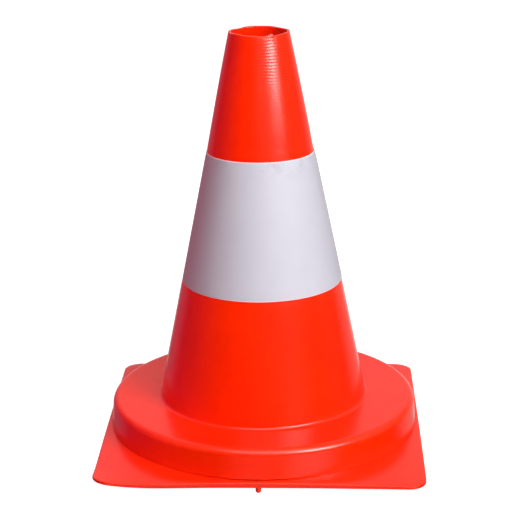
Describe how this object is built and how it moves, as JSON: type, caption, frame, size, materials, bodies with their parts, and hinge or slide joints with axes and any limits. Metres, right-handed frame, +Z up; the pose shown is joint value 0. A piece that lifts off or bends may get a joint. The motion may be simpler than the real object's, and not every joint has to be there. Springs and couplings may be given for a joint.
{
  "type": "traffic cone",
  "caption": "Small safety cone: a hollow open-topped taper on a round weighted plinth and a square base plate, with a reflective strip, made to stand on the floor and stack.",
  "frame": {"origin": "on the floor, under the centre of the base, on the axis of the cone", "axes": "+Z up along the axis of the cone; the straight sides of the base face +X, -X, +Y and -Y"},
  "size_m": [0.232, 0.232, 0.3],
  "materials": {
    "cone_plastic": "glossy orange-red moulded polyethylene",
    "base_plastic": "glossy orange-red moulded polyethylene",
    "ballast_rubber": "moulded recycled rubber, dull and grainy",
    "retroreflective_film": "silver-grey glass-bead retroreflective film",
    "peg_plastic": "glossy orange-red moulded plastic"
  },
  "bodies": {
    "root": {"cone_shell": "cone_plastic", "base_plate": "base_plastic", "ballast_ring": "ballast_rubber", "reflective_band": "retroreflective_film", "foot_pegs": "peg_plastic"}
  },
  "joints": []
}
